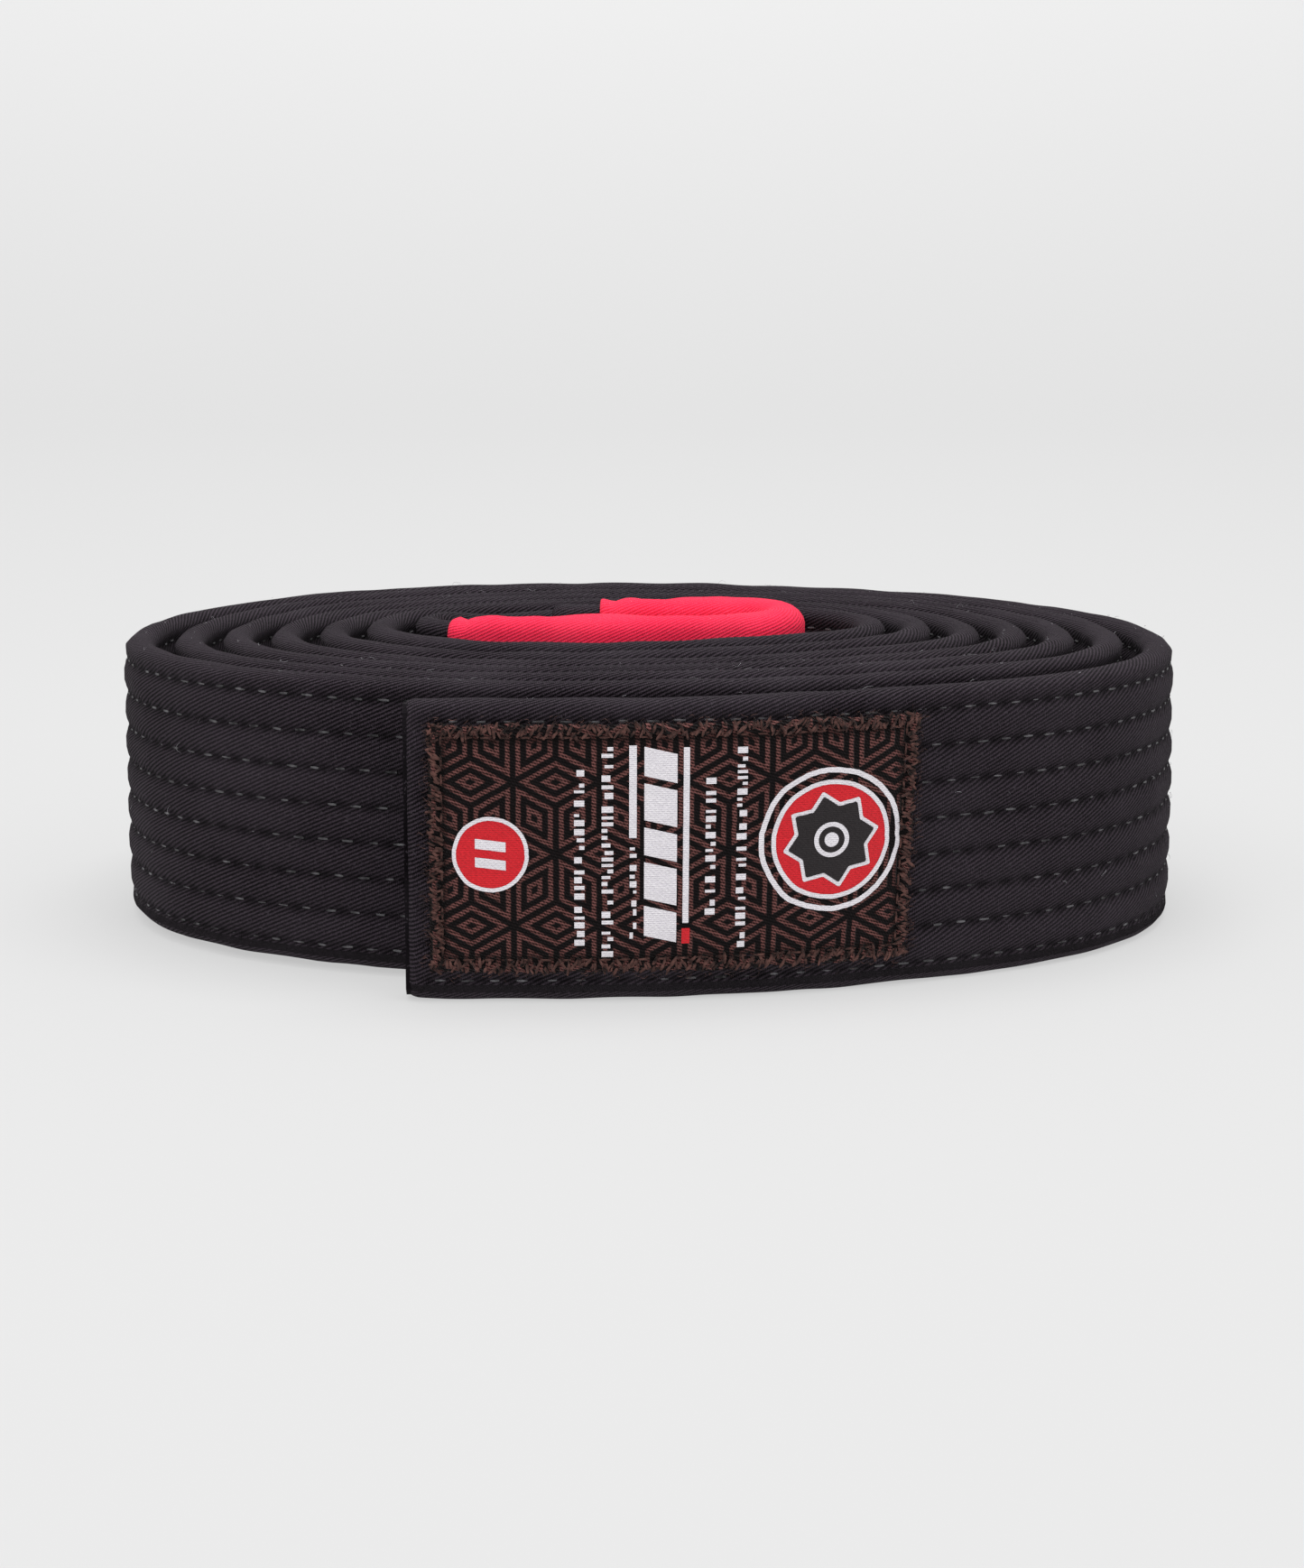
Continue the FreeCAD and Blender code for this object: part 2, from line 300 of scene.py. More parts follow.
def make_mesh(name, points, faces, material, replaces=(), uv=None):
    """A mesh object that rides on the belt. uv is one (u, v) per vertex, in metres."""
    mesh = bpy.data.meshes.new(name)
    mesh.from_pydata([tuple(p) for p in points], [], [tuple(f) for f in faces])
    mesh.shade_smooth()
    if uv is not None:
        layer = mesh.uv_layers.new(name="cloth")
        corners = np.empty(len(mesh.loops), dtype=np.int32)
        mesh.loops.foreach_get("vertex_index", corners)
        layer.data.foreach_set("uv", np.asarray(uv, np.float32)[corners].ravel())
    mesh.materials.append(material)
    piece = bpy.data.objects.new(name, mesh)
    bpy.context.scene.collection.objects.link(piece)
    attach(piece, "root")
    if replaces:
        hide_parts(*replaces)
    return piece


def grid_faces(rows, columns, closed=False, first=0):
    """Quads between neighbouring rows of points, wrapping across if closed."""
    i = np.arange(rows - 1)[:, None]
    j = np.arange(columns if closed else columns - 1)[None, :]
    k = (j + 1) % columns
    quads = np.stack([i * columns + j, i * columns + k, (i + 1) * columns + k,
                      (i + 1) * columns + j], axis=-1)
    return (quads.reshape(-1, 4) + first).tolist()


def steps_between(low, high, pitch):
    return np.linspace(low, high, max(2, int(round((high - low) / pitch)) + 1))


# ---------------------------------------------------------------- the cover
def belt_ring():
    """Points round the belt's section: out, up, and the outward normal of each."""
    face_shares = (0, 0.09, 0.2, 0.36, 0.64, 0.8, 0.91)
    between = [row + share * ROW_PITCH for row in ROWS[:-1] for share in face_shares]
    heights = np.array([EDGE_ROUND] + between + [ROWS[-1], BELT_WIDTH - EDGE_ROUND])
    ones = np.ones_like(heights)
    swing = np.linspace(0, math.pi, 8)[1:-1]
    flat = HALF - EDGE_ROUND
    top_out = flat * np.sign(np.cos(swing)) + EDGE_ROUND * np.cos(swing)
    top_up = BELT_WIDTH - EDGE_ROUND + EDGE_ROUND * np.sin(swing)
    out = np.concatenate([HALF * ones, top_out, -HALF * ones, -top_out])
    up = np.concatenate([heights, top_up, heights[::-1], BELT_WIDTH - top_up])
    n_out = np.concatenate([ones, np.cos(swing), -ones, -np.cos(swing)])
    n_up = np.concatenate([0 * ones, np.sin(swing), 0 * ones, -np.sin(swing)])
    return out, up, n_out, n_up


def round_ends(along, out, up, tuck=2.2, corner=1.3):
    """Draws the section in near either end, where the cloth is folded over."""
    inset = np.minimum(along, TIP - along)
    near = np.clip(1 - inset / tuck, 0, 1)
    keep = np.sqrt(np.clip(1 - near ** 2, 0, 1))
    middle = BELT_WIDTH / 2
    return out * (0.04 + 0.96 * keep), middle + (up - middle) * (1 - corner / middle * (1 - keep))


def cover(material):
    """The whole quilted strip, finest on the outer turn."""
    ends = 2.2 * (1 - np.cos(np.linspace(0, math.pi / 2, 9)))[:-1]
    stations = np.concatenate([ends, steps_between(2.4, 470, STITCH_PITCH / 4)[:-1],
                               steps_between(470, TIP - 2.4, STITCH_PITCH / 1.6), TIP - ends[::-1]])
    ring_out, ring_up, n_out, n_up = belt_ring()
    along = np.repeat(stations[:, None], len(ring_out), axis=1)
    out = ring_out + 0 * along
    up = ring_up + 0 * along
    round_v = np.concatenate([[0], np.cumsum(np.hypot(np.diff(ring_out), np.diff(ring_up)))])
    side = 40 * np.sign(n_out)
    wrinkle = (0.10 * ripple(along / 3.1, up / 2.2 + side, seed=11)
               + 0.08 * ripple(along / 9, up / 16 + side, seed=12))
    edge_wave = 0.14 * ripple(along / 7, side, seed=13) * np.abs(n_up)
    pull = groove(along, up) * np.abs(n_out) ** 3
    swell = PILLOW * np.abs(n_out) ** 3 * (1 - pull) * (1 + 0.4 * ripple(along / 5, up / 4, seed=14))
    push = np.maximum(wrinkle + edge_wave + swell - GROOVE_DEPTH * pull - 0.05, DEEPEST)
    out = out + n_out * push
    up = up + n_up * push
    out, up = round_ends(along, out, up)
    up = np.maximum(up, 0.02)
    points = place(along, out, up).reshape(-1, 3)
    columns = len(ring_out)
    faces = grid_faces(len(stations), columns, closed=True)
    faces.append(list(range(columns))[::-1])
    faces.append(list(range(len(points) - columns, len(points))))
    uv = np.stack([along, round_v + 0 * along], axis=-1).reshape(-1, 2) * MM
    piece = make_mesh("belt_cover", points, faces, material, ["cover"], uv=uv)
    # the grooves' depth, which the twill shader turns into painted shade
    store_shade_depth(piece, pull)
    return piece


# ---------------------------------------------------------------- threads
def bead(rings, sides):
    """A stitch: points of a unit capsule along x, arched upward in z, and its faces."""
    x = -np.cos(np.linspace(0, math.pi, rings + 2))[1:-1]
    angle = np.linspace(0, 2 * math.pi, sides, endpoint=False)
    width = np.sqrt(1 - x ** 2) * 0.45 + 0.55 * np.sqrt(np.clip(1 - x ** 4, 0, 1))
    arch = -(np.abs(x) ** 3)
    points = [(-1.0, 0.0, -1.4)]
    points += [(a, w * math.cos(t), w * math.sin(t) * 0.55 + z)
               for a, w, z in zip(x, width, arch) for t in angle]
    points.append((1.0, 0.0, -1.4))
    faces = [(f[0], f[3], f[2], f[1]) for f in grid_faces(rings, sides, closed=True, first=1)]
    last = len(points) - 1
    faces += [(0, 1 + (j + 1) % sides, 1 + j) for j in range(sides)]
    faces += [(last, last - sides + j, last - sides + (j + 1) % sides) for j in range(sides)]
    return np.array(points), faces


def stitch_mesh(name, stitches, material, replaces, rings=4, sides=6):
    """Many stitches as one piece.

    Each is (along, up, base, side, angle, length, width): it lies `base` from the
    middle line on the outer (side 1) or inner (-1) face, at `angle` to the belt.
    """
    unit, unit_faces = bead(rings, sides)
    spots = np.array(stitches, float)
    along, up, base, side, angle, length, width = (spots[:, i][:, None] for i in range(7))
    run = unit[:, 0] * length / 2
    cross = unit[:, 1] * width / 2
    high = unit[:, 2] * width / 2
    angle = angle + 0.07 * ripple(along * 1.7 + up, seed=21)
    at = along + run * np.cos(angle) - cross * np.sin(angle)
    height = up + run * np.sin(angle) + cross * np.cos(angle)
    points = place(at, side * (base + high), height).reshape(-1, 3)
    faces = []
    for index in range(len(spots)):
        first = index * len(unit)
        outward = side[index, 0] > 0
        faces += [[first + v for v in (f if outward else f[::-1])] for f in unit_faces]
    piece = make_mesh(name, points, faces, material, replaces)
    return piece


def quilting(material):
    """Eight rows of stitches on each face, one between each two needle holes."""
    for index, row in enumerate(ROWS):
        rng = np.random.default_rng(100 + index)
        first = ROW_START + (ROW_SHIFT * index) % STITCH_PITCH + STITCH_PITCH / 2
        along = np.arange(first, TIP - ROW_START - 1, STITCH_PITCH)
        stitches = []
        for side in (1, -1):
            shift = along + rng.uniform(-0.15, 0.15, len(along))
            height = row + rng.uniform(-0.09, 0.09, len(along))
            depth = HALF - 0.52 + rng.uniform(0, 0.10, len(along))
            length = STITCH_LENGTH * rng.uniform(0.75, 1.15, len(along))
            for spot, up, base, long in zip(shift, height, depth, length):
                beside_label = side > 0 and spot < LABEL_INSET + LABEL_LENGTH - 1
                labelled = beside_label and LABEL_BOTTOM < up < LABEL_BOTTOM + LABEL_HEIGHT
                sleeved = SLEEVE_START - 1 < spot < SLEEVE_START + SLEEVE_LENGTH + 1
                if not (sleeved or labelled):
                    stitches.append((spot, up, base, side, 0, long, STITCH_WIDTH))
        stitch_mesh("quilting_%d" % (index + 1), stitches, material,
                    ["quilt_row_%d" % (index + 1)], rings=3, sides=5)


def cross_row(along, base, low, high, pitch, length, width):
    """Stitches across the belt, on both faces."""
    heights = np.arange(low, high, pitch)
    return [(along + 0.12 * math.sin(7 * z), z, base, side, math.pi / 2, length, width)
            for z in heights for side in (1, -1)]


def end_stitching(material):
    for name, middle in (("outer_end", END_STITCH_INSET + 0.5), ("inner_end", TIP - END_STITCH_INSET - 0.5)):
        rows = cross_row(middle, HALF - 0.42, 4.2, BELT_WIDTH - 4.0, 3.6, 2.6, STITCH_WIDTH)
        stitch_mesh(name + "_stitches", rows, material, [name + "_stitching"])


# ---------------------------------------------------------------- the label
LABEL_SKEW = 2.0           # how far the label's right end leans out over its height
LABEL_REST = HALF - 0.05   # where its back lies
LABEL_STITCH_PITCH = 2.9
LABEL_STITCH_LENGTH = 2.1
LABEL_STITCH_WIDTH = 0.38


def skewed(p, q):
    """How far a place on the label is shifted along the belt by its skew."""
    return LABEL_SKEW * np.clip(p / LABEL_LENGTH, 0, 1) ** 3 * (q / LABEL_HEIGHT - 0.25)


def label_place(p, q, height):
    """A place on the label, p along and q up from its lower left corner, to metres."""
    p = np.asarray(p, float)
    q = np.asarray(q, float)
    reach = p + skewed(p, q)
    inset = np.minimum(np.minimum(p, LABEL_LENGTH - p), np.minimum(q, LABEL_HEIGHT - q))
    edge = np.clip(1 - inset / 1.2, 0, 1)
    wave = 0.28 * edge * ripple(p / 2.4, q / 2.4, seed=31)
    stitched = np.exp(-((inset - LABEL_STITCH_INSET) / 0.55) ** 2)
    pucker = 0.5 + 0.5 * np.cos(2 * math.pi * (p + q) / 2.9)
    pillow = 0.34 * np.clip((inset - LABEL_STITCH_INSET) / 3.5, 0, 1) ** 0.7
    rim = 0.28 * np.exp(-((inset - 0.8) / 0.6) ** 2) * (0.6 + 0.8 * pucker)
    rows = 0.05 * np.cos(2 * math.pi * (q + LABEL_BOTTOM - ROW_EDGE) / ROW_PITCH)
    relief = (0.42 + pillow + rim - 0.26 * stitched * (0.6 + 0.5 * pucker) - rows
              + 0.05 * ripple(p / 3.3, q / 2.8, seed=32) + 0.1 * ripple(p / 14, q / 11, seed=33))
    relief = relief * (1 - edge ** 4 * 0.75)
    return place(LABEL_INSET + reach, LABEL_REST + relief + height,
                 LABEL_BOTTOM + q + wave + 0 * p)


def label(material):
    """The woven patch: a sheet with a turned-down rim."""
    p = steps_between(0, LABEL_LENGTH, 0.45)
    q = steps_between(0, LABEL_HEIGHT, 0.45)
    grid_p, grid_q = np.meshgrid(p, q)
    top = label_place(grid_p, grid_q, 0.0).reshape(-1, 3)
    faces = grid_faces(len(q), len(p))
    rim = ([i for i in range(len(p))]
           + [(r + 1) * len(p) - 1 for r in range(1, len(q))]
           + [(len(q) - 1) * len(p) + i for i in range(len(p) - 2, -1, -1)]
           + [r * len(p) for r in range(len(q) - 2, 0, -1)])
    rim_p = grid_p.ravel()[rim]
    rim_q = grid_q.ravel()[rim]
    under = label_place(rim_p, rim_q, -0.3)
    first = len(top)
    count = len(rim)
    faces += [[rim[(i + 1) % count], rim[i], first + i, first + (i + 1) % count] for i in range(count)]
    points = np.concatenate([top, under])
    uv = np.concatenate([np.stack([grid_p, grid_q], axis=-1).reshape(-1, 2),
                         np.stack([rim_p, rim_q], axis=-1)]) * MM
    piece = make_mesh("label_weave", points, faces, material, ["label"], uv=uv)
    inset = np.minimum(np.minimum(uv[:, 0], LABEL_LENGTH * MM - uv[:, 0]),
                       np.minimum(uv[:, 1], LABEL_HEIGHT * MM - uv[:, 1])) / MM
    # painted shade: a dark line just inside the stitching, where the label is drawn in
    store_shade_depth(piece, np.exp(-((inset - LABEL_STITCH_INSET - 0.3) / 0.7) ** 2))
    return piece


def block_faces(low_p, high_p, low_q, high_q, slant=0.0, pitch=0.4):
    """A small patch of the label as a grid, slanted along the belt by slant per mm of height."""
    p = steps_between(low_p, high_p, pitch)
    q = steps_between(low_q, high_q, pitch)
    grid_p, grid_q = np.meshgrid(p, q)
    grid_q = grid_q + slant * (grid_p - low_p)
    return grid_p.ravel(), grid_q.ravel(), grid_faces(len(q), len(p))


def round_faces(p, q, inner, outer, corners=0, turn=0.0, dent=1.0, rough=0.0):
    """A disc, a ring, or a star with that many corners whose notches reach dent of its size."""
    sides = 144
    angle = np.arange(sides) * 2 * math.pi / sides
    edge = np.ones(sides)
    if corners:
        share = (angle - turn) / (math.pi / corners) % 2
        share = np.minimum(share, 2 - share)
        step = math.pi / corners
        edge = dent * math.sin(step) / (dent * np.sin((1 - share) * step) + np.sin(share * step))
    rings = np.linspace(inner, outer, max(3, int((outer - inner) / 0.4) + 2))[:, None]
    uneven = rough * (ripple(angle * 9, seed=41) + 0.6 * ripple(angle * 31, seed=42))
    grid_p = p + (rings * edge + uneven) * np.cos(angle)
    grid_q = q + (rings * edge + uneven) * np.sin(angle)
    faces = grid_faces(len(rings), sides, closed=True)
    return grid_p.ravel(), grid_q.ravel(), [f[::-1] for f in faces]


def marks(name, shapes, material, height=0.05):
    """Woven marks joined into one piece lying just proud of the label."""
    points = []
    faces = []
    uv = []
    for p, q, quads in shapes:
        first = len(uv)
        points.append(label_place(p, q, height))
        uv += list(zip(p * MM, q * MM))
        faces += [[first + v for v in quad] for quad in quads]
    piece = make_mesh(name, np.concatenate(points), faces, material, uv=uv)
    return piece


def dash_column(p, low, high, width, rng):
    """A row of short plain dashes of uneven length."""
    shapes = []
    q = high
    while q > low + 0.5:
        step = rng.choice([0.45, 0.6, 0.95])
        inset = rng.choice([0.0, 0.0, 0.25, 0.5]) * width
        side = rng.choice([0, 1])
        shapes.append(block_faces(p + inset * side, p + width - inset * (1 - side), q - step, q))
        q -= step + rng.choice([0.4, 0.45, 0.55, 1.1])
    return shapes


def label_marks(white, red, black):
    """Generic woven marks: bars, slanted blocks, dashes, a barred dot and a ringed star."""
    rng = np.random.default_rng(7)
    dot = (9.2, 18.2)
    emblem = (59.8, 19.2)
    pale = []
    pale += dash_column(21.6, 3.4, 31.0, 1.5, rng)
    pale += dash_column(25.6, 2.6, 34.4, 1.7, rng)
    pale += dash_column(40.8, 8.0, 29.5, 1.5, rng)
    pale += dash_column(45.4, 3.2, 34.0, 1.5, rng)
    pale.append(block_faces(29.6, 30.7, 20.6, 34.6))
    pale.append(block_faces(37.5, 38.4, 7.4, 34.2))
    pale += dash_column(29.7, 4.4, 19.2, 1.0, rng)
    top = 34.4
    for tall in (4.4, 5.6, 4.2, 5.6, 4.6):
        pale.append(block_faces(31.8, 36.6, top - tall, top, slant=-0.25))
        top -= tall + 1.1
    pale.append(round_faces(*emblem, 10.3, 11.1, rough=0.14))
    crimson = [round_faces(*dot, 0.02, 5.2), round_faces(*emblem, 0.02, 8.6),
               block_faces(37.4, 38.6, 4.2, 6.6)]
    edging = [round_faces(*dot, 5.15, 5.75, rough=0.05), round_faces(*emblem, 8.5, 9.2, rough=0.07),
              block_faces(dot[0] - 2.3, dot[0] + 2.3, dot[1] + 0.9, dot[1] + 2.4, slant=-0.12),
              block_faces(dot[0] - 2.3, dot[0] + 2.3, dot[1] - 1.9, dot[1] - 0.4, slant=-0.12),
              round_faces(*emblem, 0.02, 7.6, 8, 0.2, 0.76)]
    figure = [round_faces(*emblem, 0.02, 6.8, 8, 0.2, 0.76)]
    core = [round_faces(*emblem, 2.0, 2.7), round_faces(*emblem, 0.02, 1.1)]
    marks("label_marks_white", pale, white, height=0.06)
    marks("label_marks_red", crimson, red, height=0.06)
    marks("label_edging_white", edging, white, height=0.12)
    marks("label_star_black", figure, black, height=0.18)
    marks("label_star_core", core, white, height=0.24)


def label_stitches(material):
    """Stitches round the label, and the bobbin side behind the belt."""
    low = LABEL_STITCH_INSET
    high_p = LABEL_LENGTH - LABEL_STITCH_INSET
    high_q = LABEL_HEIGHT - LABEL_STITCH_INSET
    spots = [(p, q, 0) for p in np.arange(low + 1, high_p, LABEL_STITCH_PITCH) for q in (low, high_q)]
    spots += [(p, q, math.pi / 2) for q in np.arange(low + 1.4, high_q - 0.5, LABEL_STITCH_PITCH)
              for p in (low, high_p)]
    stitches = [(LABEL_INSET + p + skewed(p, q), LABEL_BOTTOM + q, base, side, angle,
                 LABEL_STITCH_LENGTH, LABEL_STITCH_WIDTH)
                for side, base in ((1, HALF + 0.32), (-1, HALF - 0.1)) for p, q, angle in spots]
    stitch_mesh("label_stitches", stitches, material, ["label_stitching"])


def label_hem(material):
    """Slanted stitches close together over the label's edge."""
    rng = np.random.default_rng(23)
    stitches = []
    loop = [(p, 0.0, 0.0) for p in np.arange(0.3, LABEL_LENGTH, 0.45)]
    loop += [(p, LABEL_HEIGHT, math.pi) for p in np.arange(0.3, LABEL_LENGTH, 0.45)]
    loop += [(0.0, q, -math.pi / 2) for q in np.arange(0.3, LABEL_HEIGHT, 0.45)]
    loop += [(LABEL_LENGTH, q, math.pi / 2) for q in np.arange(0.3, LABEL_HEIGHT, 0.45)]
    for p, q, way in loop:
        inward = rng.uniform(0.2, 1.7)
        p += inward * math.sin(-way) + rng.uniform(-0.15, 0.15)
        q += inward * math.cos(way) + rng.uniform(-0.15, 0.15)
        p += skewed(p, q)
        angle = way + rng.choice([0.9, 1.15, 1.9]) + rng.uniform(-0.3, 0.3)
        stitches.append((LABEL_INSET + p, LABEL_BOTTOM + q, HALF + rng.uniform(0.5, 0.8), 1, angle,
                         rng.uniform(1.2, 2.2), rng.uniform(0.36, 0.56)))
    stitch_mesh("label_hem", stitches, material, (), rings=4, sides=5)


# ---------------------------------------------------------------- the sleeve
def sleeve(material):
    """The red sleeve: cloth wrapped round the belt, drawn in where it is sewn at each end."""
    lips = np.array([0.0, 0.1, 0.35, 0.8])
    length = SLEEVE_LENGTH
    inner = np.concatenate([lips, steps_between(1.4, length - 1.4, 0.9), length - lips[::-1]])
    width = BELT_WIDTH + 2 * (SLEEVE_CLOTH + SLEEVE_CLEARANCE)
    rounding = 3.2
    flat = SLEEVE_OUTER - rounding
    swing = np.linspace(0, math.pi, 10)[1:-1]
    heights = np.linspace(rounding, width - rounding, 30)
    ones = np.ones_like(heights)
    ring_out = np.concatenate([SLEEVE_OUTER * ones, flat * np.sign(np.cos(swing)) + rounding * np.cos(swing)])
    ring_up = np.concatenate([heights, width - rounding + rounding * np.sin(swing)])
    ring_up = np.concatenate([ring_up, width - ring_up]) - SLEEVE_CLOTH - SLEEVE_CLEARANCE
    ring_out = np.concatenate([ring_out, -ring_out])
    n_out = np.concatenate([ones, np.cos(swing), -ones, -np.cos(swing)])
    n_up = np.concatenate([0 * ones, np.sin(swing), 0 * ones, -np.sin(swing)])
    local = np.repeat(inner[:, None], len(ring_out), axis=1)
    out = ring_out + 0 * local
    up = ring_up + 0 * local
    end = np.minimum(local, length - local)
    sewn = np.exp(-((end - SLEEVE_STITCH_INSET) / 1.0) ** 2)
    lip = np.clip(1 - end / 0.8, 0, 1)
    gather = np.exp(-end / 9.0)
    side = 30 * np.sign(n_out)
    push = (0.22 * ripple(local / 4.5, up / 7 + side, seed=51) - 0.45 * sewn
            + gather * 0.7 * ripple(local / 3.2, up / 3.0 + side, seed=52)
            + 0.40 * np.abs(n_up) * ripple(local / 5.0, side, seed=53) - 0.75 * (1 - np.sqrt(1 - lip ** 2)))
    out = out + n_out * push
    up = up + n_up * push
    skew = 0.5 * gather * ripple(up / 6, side, seed=54)
    points = place(SLEEVE_START + local + skew, out, up).reshape(-1, 3)
    columns = len(ring_out)
    faces = grid_faces(len(inner), columns, closed=True)
    round_v = np.concatenate([[0], np.cumsum(np.hypot(np.diff(ring_out), np.diff(ring_up)))])
    uv = np.stack([local, round_v + 0 * local], axis=-1).reshape(-1, 2) * MM
    piece = make_mesh("sleeve_cloth", points, faces, material, ["rank_sleeve"], uv=uv)
    return piece


def sleeve_stitches(material):
    for name, middle in (("start", SLEEVE_STITCH_INSET), ("end", SLEEVE_LENGTH - SLEEVE_STITCH_INSET)):
        rows = cross_row(SLEEVE_START + middle, SLEEVE_OUTER - 0.42, 1.5, BELT_WIDTH - 1.0, 2.9, 2.1, 0.4)
        stitch_mesh("sleeve_stitches_" + name, rows, material,
                    ["sleeve_stitching_" + name])


# ---------------------------------------------------------------- stray fibres
def fibres(name, spots, material, thickness=0.035):
    """Fine curved hairs. Each spot is (along, out, up, run, rise, lift, curl)."""
    shares = np.linspace(0, 1, 6)
    turn = np.array([0, 2, 4]) * math.pi / 3
    points = []
    faces = []
    for along, out, up, run, rise, lift, curl in spots:
        bow = np.sin(shares * math.pi)
        s = along + run * shares + curl * bow * rise
        z = up + rise * shares - curl * bow * run
        o = out + lift * bow
        thin = thickness * (1 - 0.6 * shares)
        first = len(points) * len(shares) * 3
        hair = place(s[:, None] + 0 * turn, o[:, None] + thin[:, None] * np.cos(turn),
                     z[:, None] + thin[:, None] * np.sin(turn))
        points.append(hair.reshape(-1, 3))
        faces += grid_faces(len(shares), 3, closed=True, first=first)
    piece = make_mesh(name, np.concatenate(points), faces, material)
    return piece


def lint(material):
    """Pale lint on the upper edges and the outer face."""
    rng = np.random.default_rng(17)
    spots = []
    for _ in range(170):
        on_edge = rng.random() < 0.6
        along = rng.uniform(5, 1500) if on_edge else rng.uniform(85, 460)
        up = BELT_WIDTH + 0.02 if on_edge else rng.uniform(3, BELT_WIDTH - 2)
        out = rng.uniform(-1.5, 1.5) if on_edge else HALF - 0.05
        angle = rng.uniform(0, 2 * math.pi)
        size = rng.uniform(0.5, 2.0)
        rise = 0.15 * size if on_edge else size * math.sin(angle)
        spots.append((along, out, up, size * math.cos(angle), rise, rng.uniform(0.1, 0.4),
                      rng.uniform(-0.5, 0.5)))
    return fibres("lint", spots, material)


def frayed_rim(material):
    """Loose ends of thread along the label's rim."""
    rng = np.random.default_rng(19)
    spots = []
    for _ in range(520):
        p = rng.uniform(0, LABEL_LENGTH)
        q = rng.uniform(0, LABEL_HEIGHT)
        edge = rng.integers(4)
        away = rng.uniform(-0.35, 0.9)
        if edge < 2:
            q = -away if edge == 0 else LABEL_HEIGHT + away
        else:
            p = -away if edge == 2 else LABEL_LENGTH + away
        p += skewed(p, q)
        angle = rng.uniform(0, 2 * math.pi)
        size = rng.uniform(0.5, 1.4)
        spots.append((LABEL_INSET + p, HALF + rng.uniform(0.05, 0.5), LABEL_BOTTOM + q,
                      size * math.cos(angle), size * math.sin(angle), rng.uniform(0, 0.35),
                      rng.uniform(-0.6, 0.6)))
    return fibres("label_fray", spots, material, thickness=0.06)


# ---------------------------------------------------------------- materials
class Shader:
    """A small helper that writes node graphs as sums and products."""

    def __init__(self, name, roughness, sheen=0.0, specular=0.1):
        self.material = bpy.data.materials.new(name)
        self.material.use_nodes = True
        self.nodes = self.material.node_tree.nodes
        self.links = self.material.node_tree.links
        self.surface = self.nodes["Principled BSDF"]
        self.surface.inputs["Roughness"].default_value = roughness
        self.surface.inputs["Sheen Weight"].default_value = sheen
        self.surface.inputs["Sheen Roughness"].default_value = 0.45
        self.surface.inputs["Specular IOR Level"].default_value = specular

    def feed(self, socket, value):
        if isinstance(value, (int, float)):
            socket.default_value = value
        elif isinstance(value, tuple):
            socket.default_value = value + (1.0,) * (len(socket.default_value) - len(value))
        else:
            self.links.new(value, socket)

    def maths(self, operation, a, b=0.0, c=0.0):
        node = self.nodes.new("ShaderNodeMath")
        node.operation = operation
        for socket, value in zip(node.inputs, (a, b, c)):
            self.feed(socket, value)
        return node.outputs[0]

    def add(self, a, b):
        return self.maths("ADD", a, b)

    def times(self, a, b):
        return self.maths("MULTIPLY", a, b)

    def cloth_axes(self):
        """The cloth's own coordinates, in millimetres."""
        uv = self.nodes.new("ShaderNodeUVMap")
        uv.uv_map = "cloth"
        split = self.nodes.new("ShaderNodeSeparateXYZ")
        self.links.new(uv.outputs["UV"], split.inputs[0])
        return self.times(split.outputs[0], 1000.0), self.times(split.outputs[1], 1000.0)

    def noise(self, scale, detail=3.0):
        """Noise from -0.5 to 0.5; scale is in features per metre."""
        node = self.nodes.new("ShaderNodeTexNoise")
        node.inputs["Scale"].default_value = scale
        node.inputs["Detail"].default_value = detail
        coords = self.nodes.new("ShaderNodeTexCoord")
        self.links.new(coords.outputs["Object"], node.inputs["Vector"])
        return self.maths("SUBTRACT", node.outputs[0], 0.5)

    def mix(self, share, a, b):
        node = self.nodes.new("ShaderNodeMix")
        node.data_type = "RGBA"
        self.feed(node.inputs["Factor"], share)
        self.feed(node.inputs[6], a)
        self.feed(node.inputs[7], b)
        return node.outputs[2]

    def clamp(self, value, low=0.0, high=1.0):
        node = self.nodes.new("ShaderNodeClamp")
        self.links.new(value, node.inputs[0])
        node.inputs[1].default_value = low
        node.inputs[2].default_value = high
        return node.outputs[0]

    def sunk(self):
        """How deep the cloth is drawn in, stored at each point of the mesh, from 0 to 1; the shaders darken
        it there as painted shade.
        """
        node = self.nodes.new("ShaderNodeAttribute")
        node.attribute_name = "sunk"
        return node.outputs["Fac"]

    def colour(self, value):
        self.feed(self.surface.inputs["Base Color"], value)

    def bump(self, height, distance):
        node = self.nodes.new("ShaderNodeBump")
        node.inputs["Strength"].default_value = 1.0
        node.inputs["Distance"].default_value = distance
        self.links.new(height, node.inputs["Height"])
        self.links.new(node.outputs[0], self.surface.inputs["Normal"])


